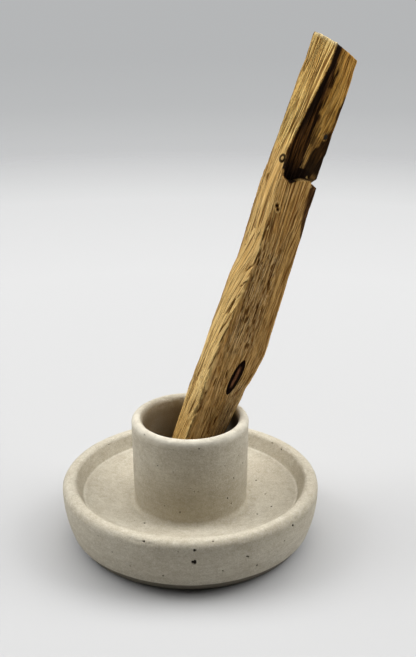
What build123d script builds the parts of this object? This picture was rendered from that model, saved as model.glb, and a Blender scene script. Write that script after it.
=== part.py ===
from build123d import *
from collections import namedtuple
from math import atan2, cos, degrees, radians, sin
import os

os.makedirs("parts", exist_ok=True)

# Dish sizes, with heights measured from the underside of the casting
dish_diameter = 60.0
wall_draw = 1.8
base_chamfer_width = 1.6
base_chamfer_height = 2.1
rim_height = 13.5
rim_outer_round = 1.7
rim_width = 3.1
rim_inner_round = 1.3
dish_depth = 3.4
dish_wall_run = 1.65
ledge_width = 0.25
dish_corner_round = 0.3
floor_fall = 2.3

# Cup sizes
bore_diameter = 22.1
cup_wall = 2.55
cup_draft = 0.3
cup_height = 29.0
bore_floor_thickness = 8.5
bore_floor_round = 2.0
cup_foot_round = 1.0

# Cork pad under the casting
pad_thickness = 0.8
pad_inset = 2.1

# Stick length and the stations of its sections, measured along it from the foot
stick_length = 107.85
swell_station = 36.5
knuckle_station = 52.5
waist_station = 56.5
shoulder_station = 76.0
tip_spare = 5.0

# Stick sections as left edge, right edge, front ridge, front reach and back reach
Section = namedtuple("Section", "left right ridge front back")
foot_section = Section(-7.5, 2.4, -4.2, 4.6, 5.0)
mouth_section = Section(-7.5, 4.8, -4.0, 5.0, 5.2)
swell_section = Section(-7.1, 7.1, -3.7, 5.2, 5.8)
knuckle_section = Section(-6.9, 6.9, -2.2, 5.2, 6.0)
waist_section = Section(-6.3, 6.7, -1.8, 5.2, 6.0)
shoulder_section = Section(-6.5, 6.0, -2.4, 5.0, 5.8)
tip_section = Section(-5.7, 5.4, 0.8, 5.0, 5.2)
side_edge_reach = 0.8
back_corner_inset = 2.6
corner_wear = 0.35

# Slanted tip of the stick
tip_slope = 16.0

# Chip split out of the upper front face, seen from the front
chip_left = -3.0
chip_tip_left = 0.1
chip_left_rise = 6.5
chip_tip_rise = 27.0
chip_end_left = -2.2
chip_end_rise = -0.4
chip_end_slope = 21.0
chip_floor_reach = 2.7
chip_slope = 26.6
chip_pitch = 5.6
chip_corner_round = 1.6

# Notch in the right edge where the chip broke off
notch_bottom = 4.3
notch_rise = 1.4
notch_upper_height = 3.8
notch_lower_height = 1.2

# How the stick stands in the cup, seen from above
lean_direction = 32.2
touch_direction = 39.3
stick_turn = -5.3
seat_gap = 0.25
foot_play = 1.2

# Heights and radii that follow from the sizes
underside = pad_thickness
dish_radius = dish_diameter / 2
base_radius = dish_radius - wall_draw
wall_foot = underside + base_chamfer_height
base_flat_radius = base_radius - base_chamfer_width
rim_top = underside + rim_height
rim_widest = rim_top - rim_outer_round
rim_inner_radius = dish_radius - rim_width
ledge_height = rim_top - dish_depth
ledge_outer_radius = rim_inner_radius - dish_wall_run
ledge_inner_radius = ledge_outer_radius - ledge_width
floor_low = ledge_height - floor_fall
bore_radius = bore_diameter / 2
cup_radius = bore_radius + cup_wall
cup_top = underside + cup_height
lip_round = cup_wall / 2
lip_start = cup_top - lip_round
bore_floor = underside + bore_floor_thickness
bore_depth = cup_top - bore_floor

# The outer wall is an arc that stands upright at the widest point of the dish
wall_rise = rim_widest - wall_foot
wall_arc = (wall_rise**2 + wall_draw**2) / (2 * wall_draw)

# One-piece cast dish with its central cup
with BuildPart() as holder_casting:
    with BuildSketch(Plane.XZ) as profile:
        rim_inside = (rim_inner_radius, rim_top)
        wall_corner = (ledge_outer_radius, ledge_height)
        ledge_edge = (ledge_inner_radius, ledge_height)
        cup_foot = (cup_radius - cup_draft, floor_low)
        bore_corner = (bore_radius, bore_floor)
        with BuildLine():
            Polyline(
                (0, bore_floor),
                (0, underside),
                (base_flat_radius, underside),
                (base_radius, wall_foot),
            )
            RadiusArc((base_radius, wall_foot), (dish_radius, rim_widest), -wall_arc)
            RadiusArc((dish_radius, rim_widest), (dish_radius - rim_outer_round, rim_top), -rim_outer_round)
            Polyline((dish_radius - rim_outer_round, rim_top), rim_inside, wall_corner, ledge_edge)
            TangentArc(cup_foot, ledge_edge, tangent=(1, 0))
            Line(cup_foot, (cup_radius, lip_start))
            ThreePointArc(
                (cup_radius, lip_start),
                (bore_radius + lip_round, cup_top),
                (bore_radius, lip_start),
            )
            Polyline((bore_radius, lip_start), bore_corner, (0, bore_floor))
        make_face()
        for corner, radius in (
            (rim_inside, rim_inner_round),
            (wall_corner, dish_corner_round),
            (cup_foot, cup_foot_round),
            (bore_corner, bore_floor_round),
        ):
            fillet(profile.vertices().sort_by_distance(corner)[0], radius)
    revolve(axis=Axis.Z)

# Round cork pad on the underside
with BuildPart() as base_pad:
    with BuildSketch(Plane.XY):
        Circle(base_flat_radius - pad_inset)
    extrude(amount=pad_thickness)

# The stick leans until its foot and its back meet opposite sides of the bore
lean_room = bore_diameter - mouth_section.back + foot_section.left - foot_play
lean = degrees(atan2(lean_room, bore_depth))
stick_dir = Vector(0, 0, 1).rotate(Axis.Y, lean).rotate(Axis.Z, lean_direction)
across_dir = Vector(1, 0, 0).rotate(Axis.Z, stick_turn)
leaning = Plane(origin=(0, 0, 0), x_dir=across_dir, z_dir=stick_dir)

# The lowest foot corner stands over the bore floor by the seat gap
foot_corner = leaning.from_local_coords((foot_section.right - back_corner_inset, foot_section.back, 0))
foot_height = bore_floor + seat_gap - foot_corner.Z

# The back right corner stands off the round of the lip by the seat gap
touch_height = lip_start + lip_round * sin(radians(lean))
touch_radius = bore_radius + lip_round * (1 - cos(radians(lean))) - seat_gap
back_corner = leaning.from_local_coords((mouth_section.right - back_corner_inset, mouth_section.back, 0))
mouth_station = (touch_height - foot_height - back_corner.Z) / cos(radians(lean))
touch_corner = back_corner + stick_dir * mouth_station
foot_centre = Vector(
    touch_radius * cos(radians(touch_direction)) - touch_corner.X,
    touch_radius * sin(radians(touch_direction)) - touch_corner.Y,
    foot_height,
)
stick_plane = Plane(origin=foot_centre, x_dir=across_dir, z_dir=stick_dir)
stick_front = Plane(origin=foot_centre, x_dir=stick_plane.x_dir, z_dir=-stick_plane.y_dir)
stations = (
    (0, foot_section),
    (mouth_station, mouth_section),
    (swell_station, swell_section),
    (knuckle_station, knuckle_section),
    (waist_station, waist_section),
    (shoulder_station, shoulder_section),
    (stick_length + tip_spare, tip_section),
)

# Chip that is split out of the stick, bounded behind by its slanting floor
chip_normal = (
    stick_plane.x_dir * sin(radians(chip_slope))
    - stick_plane.y_dir * cos(radians(chip_slope))
    - stick_plane.z_dir * sin(radians(chip_pitch))
)
chip_left_station = shoulder_station + chip_left_rise
chip_corner = stick_plane.from_local_coords((chip_left, -chip_floor_reach, chip_left_station))
chip_reach = swell_section.right - chip_end_left
with BuildPart() as chip:
    with BuildSketch(stick_front) as chip_outline:
        chip_end = (chip_end_left, shoulder_station + chip_end_rise)
        chip_end_right = (
            chip_end_left + chip_reach,
            chip_end[1] + chip_reach * sin(radians(chip_end_slope)),
        )
        Polygon(
            chip_end,
            chip_end_right,
            (chip_end_right[0], stick_length + tip_spare),
            (chip_tip_left, stick_length + tip_spare),
            (chip_tip_left, shoulder_station + chip_tip_rise),
            (chip_left, chip_left_station),
            align=None,
        )
        fillet(chip_outline.vertices().sort_by_distance(chip_end)[0], chip_corner_round)
    extrude(amount=mouth_section.front + tip_spare, both=True)
    split(bisect_by=Plane(origin=chip_corner, z_dir=chip_normal), keep=Keep.TOP)

# Hand-split wood stick
with BuildPart() as wood_stick:
    for station, section in stations:
        with BuildSketch(stick_plane.offset(station)) as outline:
            Polygon(
                (section.ridge, -section.front),
                (section.right, side_edge_reach),
                (section.right - back_corner_inset, section.back),
                (section.left + back_corner_inset, section.back),
                (section.left, side_edge_reach),
                align=None,
            )
            fillet(outline.vertices(), corner_wear)
    loft(ruled=True)
    tip_turn = Location((0, 0, stick_length), (0, tip_slope, 0))
    split(bisect_by=Plane(stick_plane.location * tip_turn), keep=Keep.BOTTOM)
    add(chip.part, mode=Mode.SUBTRACT)
    with BuildSketch(stick_front):
        notch_station = shoulder_station + notch_rise
        notch_mouth = swell_section.right
        Polygon(
            (notch_bottom, notch_station),
            (notch_mouth, notch_station - notch_lower_height),
            (notch_mouth, notch_station + notch_upper_height),
            align=None,
        )
    extrude(amount=mouth_section.front + tip_spare, both=True, mode=Mode.SUBTRACT)

holder_casting.part.label = "holder_casting"
base_pad.part.label = "base_pad"
wood_stick.part.label = "wood_stick"
export_step(holder_casting.part, "parts/holder_casting.step")
export_step(base_pad.part, "parts/base_pad.step")
export_step(wood_stick.part, "parts/wood_stick.step")
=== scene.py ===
import math

import bmesh
import bpy
import numpy as np
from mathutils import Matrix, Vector
from mathutils.bvhtree import BVHTree
from mathutils.kdtree import KDTree


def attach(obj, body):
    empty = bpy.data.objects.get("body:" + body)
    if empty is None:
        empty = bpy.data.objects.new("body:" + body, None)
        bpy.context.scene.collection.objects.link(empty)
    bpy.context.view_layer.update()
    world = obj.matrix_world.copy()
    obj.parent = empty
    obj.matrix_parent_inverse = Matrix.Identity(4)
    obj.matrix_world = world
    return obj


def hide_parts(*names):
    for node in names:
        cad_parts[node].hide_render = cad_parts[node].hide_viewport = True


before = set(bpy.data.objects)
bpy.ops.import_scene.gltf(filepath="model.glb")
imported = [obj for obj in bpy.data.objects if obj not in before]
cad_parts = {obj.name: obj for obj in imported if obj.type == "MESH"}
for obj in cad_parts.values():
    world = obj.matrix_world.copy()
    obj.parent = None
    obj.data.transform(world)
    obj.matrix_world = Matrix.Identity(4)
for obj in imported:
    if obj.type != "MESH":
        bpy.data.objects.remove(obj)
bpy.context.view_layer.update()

MM = 0.001
SMOOTH_ANGLE = math.radians(48)

# The camera fitted to the photograph, in the row frame, in millimetres
CAMERA_PLACE = Vector((0.0, -227.2, 138.8))
CAMERA_TURN = math.radians(1.04)
CAMERA_PITCH = math.radians(21.068)
FOCAL_PIXELS = 1088.7
FRAME_WIDE, FRAME_HIGH = 416, 657
SENSOR_MM = 36.0
CAMERA_AHEAD = Vector((
    math.sin(CAMERA_TURN) * math.cos(CAMERA_PITCH),
    math.cos(CAMERA_TURN) * math.cos(CAMERA_PITCH),
    -math.sin(CAMERA_PITCH),
))


# Noise and shaping helpers

def lattice(ix, iy, iz, seed):
    n = (ix * 73856093) ^ (iy * 19349663) ^ (iz * 83492791) ^ (seed * 2654435)
    n = n & 0x7FFFFFFF
    n = ((n ^ (n >> 13)) * 1274126177) & 0x7FFFFFFF
    n = n ^ (n >> 16)
    return (n & 0xFFFF) / 32767.5 - 1.0


def noise(x, y, z, seed):
    """Smooth noise from -1 to 1 with cells of size 1."""
    cells, parts = [], []
    for v in (x, y, z):
        low = np.floor(v)
        f = v - low
        cells.append(low.astype(np.int64))
        parts.append(f * f * f * (f * (f * 6 - 15) + 10))
    total = 0.0
    for corner in np.ndindex(2, 2, 2):
        weight = 1.0
        for step, part in zip(corner, parts):
            weight = weight * (part if step else 1 - part)
        total = total + weight * lattice(*(c + step for c, step in zip(cells, corner)), seed)
    return total


def layered(x, y, z, seed):
    """Three layers of noise, each half the size of the one before."""
    total, size = 0.0, 1.0
    for k in range(3):
        total = total + size * noise(x / size, y / size, z / size, seed + 7 * k)
        size *= 0.5
    return total / 1.5


def ease(low, high, v):
    t = np.clip((v - low) / (high - low), 0.0, 1.0)
    return t * t * (3 - 2 * t)


def bell(v, wide):
    return np.exp(-((v / wide) ** 2))


def table(v, rows):
    """Values between the rows of a table of (place, value)."""
    return np.interp(v, *zip(*rows))


# Mesh helpers

def add_object(name, data):
    obj = bpy.data.objects.new(name, data)
    bpy.context.scene.collection.objects.link(obj)
    return obj


def mesh_from(name, points, faces):
    mesh = bpy.data.meshes.new(name)
    mesh.from_pydata(points, [], faces)
    mesh.validate()
    mesh.polygons.foreach_set("use_smooth", [True] * len(mesh.polygons))
    mesh.set_sharp_from_angle(angle=SMOOTH_ANGLE)
    return add_object(name, mesh)


def store(mesh, name, values):
    values = np.asarray(values, np.float32)
    kind, key = ("FLOAT_VECTOR", "vector") if values.ndim == 2 else ("FLOAT", "value")
    layer = mesh.attributes.new(name, kind, "POINT")
    layer.data.foreach_set(key, values.ravel())


def ring_faces(rings, sides, first=0):
    """Faces between rings of corners that follow one another."""
    faces = []
    for a in range(first, first + (rings - 1) * sides, sides):
        for j in range(sides):
            k = (j + 1) % sides
            faces.append((a + j, a + k, a + sides + k, a + sides + j))
    return faces


def search_tree(points, mesh):
    return BVHTree.FromPolygons(points, [tuple(p.vertices) for p in mesh.polygons])


# Cast dish and cup: the profile of the solid, finely divided, in millimetres

DISH_R, BASE_R, BASE_FLAT_R = 30.0, 28.2, 26.6
UNDERSIDE, WALL_FOOT, RIM_WIDEST, RIM_TOP = 0.8, 2.9, 12.6, 14.3
RIM_ROUND, RIM_INSIDE_R, RIM_INSIDE_ROUND = 1.7, 26.9, 1.3
LEDGE_OUT_R, LEDGE_IN_R, LEDGE_Z, LEDGE_ROUND = 25.25, 25.0, 10.9, 0.3
FLOOR_LOW, FOOT_R, FOOT_ROUND = 8.6, 13.3, 1.0
CUP_R, CUP_TOP, BORE_R, BORE_FLOOR, BORE_ROUND = 13.6, 29.8, 11.05, 9.3, 2.0
LIP_ROUND = (CUP_R - BORE_R) / 2
LIP_START = CUP_TOP - LIP_ROUND
AROUND = 420
SET_IN = 0.06

# Bearings, in radians, of the bore's side under the stick's painted shadow and of the darker side of the
# rim
STICK_SHADOW_AT, DARKER_RIM_AT = 0.15, -0.85


def line(a, b, count):
    t = np.arange(count)[:, None] / count
    return np.array(a) * (1 - t) + np.array(b) * t


def arc(centre, radius, start, end, count):
    t = np.radians(start + (end - start) * np.arange(count) / count)
    return np.array(centre) + radius * np.stack([np.cos(t), np.sin(t)], 1)


def rounded(before, corner, after, radius, count):
    """Both ends and the points of the round between two straight runs that meet at corner."""
    p, q, c = (np.array(v, float) for v in (before, after, corner))
    u, v = (p - c) / np.linalg.norm(p - c), (q - c) / np.linalg.norm(q - c)
    half = math.acos(np.clip(u @ v, -1, 1)) / 2
    middle = c + (u + v) / np.linalg.norm(u + v) * radius / math.sin(half)
    first, last = c + u * radius / math.tan(half), c + v * radius / math.tan(half)
    a = math.atan2(*(first - middle)[::-1])
    b = math.atan2(*(last - middle)[::-1])
    turn = (b - a + math.pi) % (2 * math.pi) - math.pi
    return first, last, arc(middle, radius, math.degrees(a), math.degrees(a + turn), count)


def casting_profile():
    floor_arc = ((LEDGE_IN_R - FOOT_R) ** 2 + (LEDGE_Z - FLOOR_LOW) ** 2) / (2 * (LEDGE_Z - FLOOR_LOW))
    wall_arc = ((RIM_WIDEST - WALL_FOOT) ** 2 + (DISH_R - BASE_R) ** 2) / (2 * (DISH_R - BASE_R))
    floor_from = math.degrees(math.asin(FOOT_ROUND / floor_arc)) - 90
    floor_to = math.degrees(math.asin((LEDGE_IN_R - FOOT_R) / floor_arc)) - 90
    wall_to = -math.degrees(math.asin((RIM_WIDEST - WALL_FOOT) / wall_arc))
    ledge_in, ledge_out = (LEDGE_IN_R, LEDGE_Z), (LEDGE_OUT_R, LEDGE_Z)
    rim_inside, rim_flat = (RIM_INSIDE_R, RIM_TOP), (DISH_R - RIM_ROUND, RIM_TOP)
    corner_a, corner_b, corner = rounded(ledge_in, ledge_out, rim_inside, LEDGE_ROUND, 4)
    brim_a, brim_b, brim = rounded(ledge_out, rim_inside, rim_flat, RIM_INSIDE_ROUND, 9)
    runs = [
        line((0.0, BORE_FLOOR), (BORE_R - BORE_ROUND, BORE_FLOOR), 7),
        arc((BORE_R - BORE_ROUND, BORE_FLOOR + BORE_ROUND), BORE_ROUND, -90, 0, 6),
        line((BORE_R, BORE_FLOOR + BORE_ROUND), (BORE_R, LIP_START), 22),
        arc((BORE_R + LIP_ROUND, LIP_START), LIP_ROUND, 180, 0, 18),
        line((CUP_R, LIP_START), (FOOT_R, FLOOR_LOW + FOOT_ROUND), 40),
        arc((FOOT_R + FOOT_ROUND, FLOOR_LOW + FOOT_ROUND), FOOT_ROUND, 180, 270, 7),
        arc((FOOT_R, FLOOR_LOW + floor_arc), floor_arc, floor_from, floor_to, 24),
        line(ledge_in, corner_a, 1),
        corner,
        line(corner_b, brim_a, 6),
        brim,
        line(brim_b, rim_flat, 2),
        arc((DISH_R - RIM_ROUND, RIM_WIDEST), RIM_ROUND, 90, 0, 12),
        arc((DISH_R - wall_arc, RIM_WIDEST), wall_arc, 0, wall_to, 26),
        line((BASE_R, WALL_FOOT), (BASE_FLAT_R, UNDERSIDE), 5),
        line((BASE_FLAT_R, UNDERSIDE), (0.0, UNDERSIDE), 12),
    ]
    return np.concatenate(runs + [np.array([[0.0, UNDERSIDE]])])


# Pinholes seen in the photograph, as a pixel, a width and a depth in millimetres
SEEN_PITS = (
    (194.3, 562.3, 1.15, 0.55), (194.5, 550.5, 0.75, 0.3), (257.0, 565.5, 0.6, 0.3),
    (247.3, 556.5, 0.55, 0.25), (293.0, 525.6, 0.65, 0.35), (256.0, 480.3, 0.5, 0.25),
    (271.3, 506.5, 0.5, 0.3), (144.6, 522.8, 0.6, 0.3), (143.8, 541.5, 0.6, 0.25),
    (163.0, 576.0, 0.5, 0.25), (242.8, 463.2, 0.55, 0.25), (164.5, 506.0, 0.4, 0.2),
    (180.0, 512.3, 0.4, 0.2), (231.2, 503.5, 0.4, 0.2), (248.5, 557.0, 0.45, 0.25),
    (112.0, 552.0, 0.45, 0.25), (284.5, 541.0, 0.45, 0.25), (281.3, 449.4, 0.45, 0.25),
    (199.0, 449.0, 0.4, 0.2), (144.6, 434.8, 0.35, 0.2), (157.6, 465.8, 0.35, 0.2),
    (257.0, 514.0, 0.45, 0.25), (265.0, 494.0, 0.4, 0.2), (223.0, 571.0, 0.45, 0.25),
    (130.0, 566.0, 0.4, 0.2), (178.0, 552.0, 0.4, 0.2), (213.0, 541.5, 0.4, 0.2),
    (98.0, 536.0, 0.4, 0.2), (272.0, 443.0, 0.4, 0.2), (109.0, 444.6, 0.4, 0.2),
)
LOOSE_PITS = 110
DARK_DEPTH = 0.4


def pixel_ray(u, v):
    right = CAMERA_AHEAD.cross(Vector((0, 0, 1))).normalized()
    up = right.cross(CAMERA_AHEAD)
    across, above = u - FRAME_WIDE / 2, FRAME_HIGH / 2 - v
    return (CAMERA_AHEAD * FOCAL_PIXELS + right * across + up * above).normalized()


def find_pits(tree):
    """Place, radius and depth of the pinholes: those of the photograph, and others like them all round."""
    pits = []
    for u, v, wide, deep in SEEN_PITS:
        place = tree.ray_cast(CAMERA_PLACE, pixel_ray(u, v))[0]
        if place is not None:
            pits.append((place, wide / 2, deep))
    random = np.random.default_rng(5)
    while len(pits) < len(SEEN_PITS) + LOOSE_PITS:
        way = random.normal(size=3)
        way[2] = abs(way[2]) * 0.8 - 0.15
        way = Vector(way).normalized()
        start = Vector((random.uniform(-12, 12), random.uniform(-12, 12), 14)) + way * 90
        place, normal, _, _ = tree.ray_cast(start, -way)
        size = 0.11 + 0.15 * random.random() ** 4
        if place is None or place.z < UNDERSIDE + 1.2:
            continue
        toward = (CAMERA_PLACE - place).normalized()
        if normal.dot(toward) > 0.1 and random.random() < 0.65:
            continue
        pits.append((place, size, size * random.uniform(0.7, 1.1)))
    return pits


def sink_pits(bm, pits):
    """Divide the mesh round each pinhole, push it in, and return the painted shade of each corner, darker
    in deeper pits.
    """
    near = KDTree(len(pits))
    for k, (place, _, _) in enumerate(pits):
        near.insert(place, k)
    near.balance()
    widest = max(radius for _, radius, _ in pits)

    def close(edge):
        middle = (edge.verts[0].co + edge.verts[1].co) / 2
        found = near.find_range(middle, widest * 2 + 0.4)
        return any(distance < pits[k][1] * 1.25 + 0.22 for _, k, distance in found)

    edges = [e for e in bm.edges if close(e)]
    bmesh.ops.subdivide_edges(bm, edges=edges, cuts=3, use_grid_fill=True)
    bm.normal_update()
    bm.verts.index_update()
    depth = {}
    for v in bm.verts:
        for place, k, distance in near.find_range(v.co, widest * 1.3):
            _, radius, deep = pits[k]
            ragged = 1 + 0.25 * math.sin(3.1 * k + 5.0 * (v.co.x - place.x) / radius)
            reach = distance / (radius * ragged)
            if reach < 1:
                share = (1 - reach ** 2) ** 0.7
                depth[v.index] = max(depth.get(v.index, (0, 0))[0], share), deep
    for v in bm.verts:
        if v.index in depth:
            share, deep = depth[v.index]
            v.co -= v.normal * (deep * share)
    dark = np.zeros(len(bm.verts), np.float32)
    for k, (share, deep) in depth.items():
        dark[k] = share * min(1, deep / DARK_DEPTH)
    return dark


def casting_fields(spots):
    """How much each place is painted: shade in the bore and the stick's shadow on it, shade in the corner
    at the cup's foot, a darker band on the rim's outer side, shade on the base chamfer, and highlights
    along the edges and the lip.
    """
    y, height = spots[:, 1], spots[:, 2]
    away = np.hypot(spots[:, 0], y)
    bearing = np.arctan2(y, spots[:, 0])
    in_bore = away < BORE_R + 0.9
    # Painted shadow of the stick on the bore wall, near black
    stick_shadow = ease(LIP_START + 0.9, LIP_START - 0.7, height) * in_bore
    # Painted shade in the corner where the cup meets the dish floor, darker lower down; the rim's outer
    # side is darker on one side
    corner_shade = ease(FLOOR_LOW + 13.0, FLOOR_LOW + 1.0, height) * ease(12.6, 13.0, away) * ease(16.5, 13.6, away)
    rim_side = ease(8.5, 13.4, height) * ease(28.3, 29.2, away)
    # Painted highlights: a bright line at the ledge edge and at the wall foot, and on the front of the lip
    edge = bell(away - LEDGE_IN_R + 0.1, 0.22) * (np.abs(height - LEDGE_Z) < 0.35)
    foot = bell(height - WALL_FOOT - 0.1, 0.16) * (away > BASE_R - 0.6)
    lip = ease(LIP_START - 1.2, CUP_TOP - 0.35, height) * (away > BORE_R + 0.5) * ease(9.0, 1.0, y)
    return {
        # Painted shade inside the bore, darker lower down
        "bore_shade": ease(LIP_START + 0.5, LIP_START - 2.5, height) * in_bore,
        "stick_shadow": stick_shadow * bell(bearing - STICK_SHADOW_AT, 0.7),
        "corner_shade_and_darker_rim": np.maximum(corner_shade, 0.85 * (rim_side * bell(bearing - DARKER_RIM_AT, 0.75))),
        # Painted shade on the down-facing chamfer below the wall foot
        "chamfer_shade": ease(WALL_FOOT + 0.02, WALL_FOOT - 0.15, height) * (away > BASE_FLAT_R - 0.5),
        "edge_highlight": np.maximum.reduce([0.55 * edge, 0.42 * foot, 1.35 * lip]),
    }


def casting_mesh():
    profile = casting_profile()
    rows = len(profile)
    steps = np.gradient(profile, axis=0)
    steps /= np.linalg.norm(steps, axis=1)[:, None]
    turn = 2 * np.pi * np.arange(AROUND) / AROUND

    def around(values):
        return np.repeat(values[1:-1], AROUND).reshape(-1, AROUND)

    r, z = around(profile[:, 0]), around(profile[:, 1])
    out_r, out_z = around(-steps[:, 1]), around(steps[:, 0])
    x, y = r * np.cos(turn), r * np.sin(turn)

    # Hand-finished waviness, faint rings on the cup wall, a bead at the ledge and nicks in the edges
    shift = 0.055 * layered(x / 9, y / 9, z / 7, 11) + 0.022 * noise(x / 1.7, y / 1.7, z / 1.5, 23)
    on_cup = ease(12.6, 13.0, r) * ease(14.2, 13.8, r) * ease(9.5, 11.5, z)
    shift += 0.02 * on_cup * noise(x / 16, y / 16, z / 0.85, 31)
    bead = bell(r - LEDGE_IN_R + 0.15, 0.28) * (z < LEDGE_Z + 0.3) * (z > FLOOR_LOW)
    shift += 0.13 * bead * (0.75 + 0.5 * noise(x / 3.1, y / 3.1, z, 37))
    on_rim = ease(RIM_WIDEST - 1.5, RIM_WIDEST + 0.8, z) * ease(25.8, 26.6, r)
    on_lip = ease(LIP_START - 0.5, LIP_START + 0.5, z)
    nicks = np.clip(noise(x / 1.1, y / 1.1, z / 0.9, 47) - 0.5, 0, None)
    shift -= 0.42 * nicks * (on_rim + 0.6 * on_lip)

    # The whole surface is set in a little, and the underside stays flat
    shift = (shift - SET_IN) * ease(UNDERSIDE + 0.1, UNDERSIDE + 1.5, z)
    r2 = r + out_r * shift
    points = np.stack([r2 * np.cos(turn), r2 * np.sin(turn), z + out_z * shift], -1).reshape(-1, 3)
    points = np.concatenate([[[0, 0, profile[0, 1]]], points, [[0, 0, profile[-1, 1]]]])

    bm = bmesh.new()
    verts = [bm.verts.new(p) for p in points]
    length = np.concatenate([[0], np.cumsum(np.linalg.norm(np.diff(profile, axis=0), axis=1))])
    length /= length[-1]
    layer = bm.loops.layers.uv.new("OFBake")

    def face(corners, uvs):
        made = bm.faces.new([verts[c] for c in corners])
        for loop, uv in zip(made.loops, uvs):
            loop[layer].uv = uv

    for j in range(AROUND):
        k = (j + 1) % AROUND
        u0, u1 = j / AROUND, (j + 1) / AROUND
        face((0, 1 + j, 1 + k), ((u0, 0), (u0, length[1]), (u1, length[1])))
        for i in range(rows - 3):
            a, b = 1 + i * AROUND, 1 + (i + 1) * AROUND
            v0, v1 = length[i + 1], length[i + 2]
            face((a + j, b + j, b + k, a + k), ((u0, v0), (u0, v1), (u1, v1), (u1, v0)))
        a = 1 + (rows - 3) * AROUND
        face((a + j, len(points) - 1, a + k), ((u0, length[-2]), (u0, 1), (u1, length[-2])))
    bm.normal_update()
    dark = sink_pits(bm, find_pits(BVHTree.FromBMesh(bm)))
    fields = casting_fields(np.array([v.co for v in bm.verts]))
    for f in bm.faces:
        f.smooth = True
    bmesh.ops.scale(bm, vec=(MM, MM, MM), verts=bm.verts)
    mesh = bpy.data.meshes.new("holder_body")
    bm.to_mesh(mesh)
    bm.free()
    store(mesh, "pit", dark)
    for name, values in fields.items():
        store(mesh, name, values)
    return add_object("holder_body", mesh)


# Split stick: its own frame in the row frame, in millimetres

STICK_FOOT = np.array((-0.94929, -2.08759, 10.6757))
STICK_LEAN = math.atan(0.4)
LEAN_TOWARDS = math.radians(32.2)
STICK_TURN = math.radians(-5.3)
STICK_ALONG = np.array((
    math.sin(STICK_LEAN) * math.cos(LEAN_TOWARDS),
    math.sin(STICK_LEAN) * math.sin(LEAN_TOWARDS),
    math.cos(STICK_LEAN),
))
STICK_RIGHT = np.array((math.cos(STICK_TURN), math.sin(STICK_TURN), 0.0))
STICK_RIGHT -= STICK_ALONG * (STICK_RIGHT @ STICK_ALONG)
STICK_RIGHT /= np.linalg.norm(STICK_RIGHT)
STICK_BACK = np.cross(STICK_ALONG, STICK_RIGHT)
STICK_LENGTH, TIP_SLOPE = 107.85, math.tan(math.radians(16.0))
STICK_SIDES = 220
CAP_RINGS = 9
GRAIN_R = 5.8
END_SUNK = 0.1

# Stations of the mesh rings, closer together beside the notch
COARSE_STEP, FINE_STEP = 0.268, 0.125
FINE_FROM, FINE_TO = 73.5, 79.5

# Station of the plain section whose girth is divided evenly
PLAIN_STATION = 62.0

# How the facets are softened, and how the front ridge is worn
SOFT_RINGS, SOFT_LENGTH, SOFT_STEP = 16, 1.7, 0.28
WORN_SHARES = (0.06, 0.12, 0.2, 0.24, 0.2, 0.12, 0.06)

# Where the side and the end faces lie on the stick's map
SIDE_MAP_HIGH, END_MAP_R, END_MAP_Y = 0.9, 0.046, 0.95
TIP_MAP_X, FOOT_MAP_X = 0.1, 0.3

# The chip in the front view: left edge by station, right edge, lower end, and floor from a corner
CHIP_LEFT = ((75.6, -2.2), (77.2, -2.7), (82.5, -3.0), (103.0, 0.1), (112.0, 0.1))
CHIP_RIGHT = 5.6
CHIP_END_X, CHIP_END_S, CHIP_END_RISE = -2.2, 75.6, math.sin(math.radians(21))
CHIP_X, CHIP_Y, CHIP_S = -3.0, -2.7, 82.5
CHIP_SLOPE, CHIP_PITCH = 0.5008, 0.109

# The front ridge, across by station
RIDGE = ((0, -4.2), (20, -4.0), (36.5, -3.7), (52.5, -2.2), (56.5, -1.8), (76, -2.4))

# The chip's stain by station, in shares of the chip's width: how far its left part reaches
STAIN_LEFT = (
    (76, 1.5), (78.6, 1.2), (80, 0.52), (82, 0.48), (86, 0.48),
    (91, 0.42), (95, 0.39), (99.5, 0.37), (103, 0.3), (107, 0.21),
)
# Where its right part starts, in the same form
STAIN_RIGHT = (
    (79, 0.47), (80.5, 0.49), (82.8, 0.525), (84.4, 0.59), (86.2, 0.7),
    (88.3, 0.86), (90, 0.94), (96, 0.975), (98, 1.1),
)
# Its lower edge, as a station by place across
STAIN_LOW = (
    (-2.4, 78.4), (-2.0, 77.1), (-1.5, 76.4), (-0.9, 76.05), (-0.2, 75.95), (0.5, 76.1),
    (1.0, 76.5), (1.3, 77.0), (1.8, 77.5), (2.8, 77.8), (4.6, 77.5), (6.0, 77.6),
)

# The left edge of the bark below the notch, across by station
BARK_EDGE = ((64.3, 6.5), (65.5, 5.75), (68.6, 5.15), (72.3, 4.85), (75.2, 4.65))

# Small knots: place across and along, with half the width and half the height
RING_KNOT, RING_REACH = (-3.44, 80.6, 0.64, 0.92), 0.8
PIT_KNOTS = ((-1.32, 70.35, 0.36, 0.5), (-0.86, 69.6, 0.34, 0.42))
PEG_HOLE = (3.5, 78.45, 0.36, 0.42)
KNOB = (4.15, 88.1)


def to_stick(points):
    q = np.asarray(points, float) - STICK_FOOT
    return np.stack([q @ STICK_RIGHT, q @ STICK_BACK, q @ STICK_ALONG], -1)


def from_stick(points):
    return STICK_FOOT + points @ np.stack([STICK_RIGHT, STICK_BACK, STICK_ALONG])


def stick_stations():
    below = np.arange(0.0, FINE_FROM, COARSE_STEP)
    beside_notch = np.arange(FINE_FROM, FINE_TO, FINE_STEP)
    above = np.arange(FINE_TO, STICK_LENGTH, COARSE_STEP)
    return np.concatenate([below, beside_notch, above, [STICK_LENGTH]])


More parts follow.
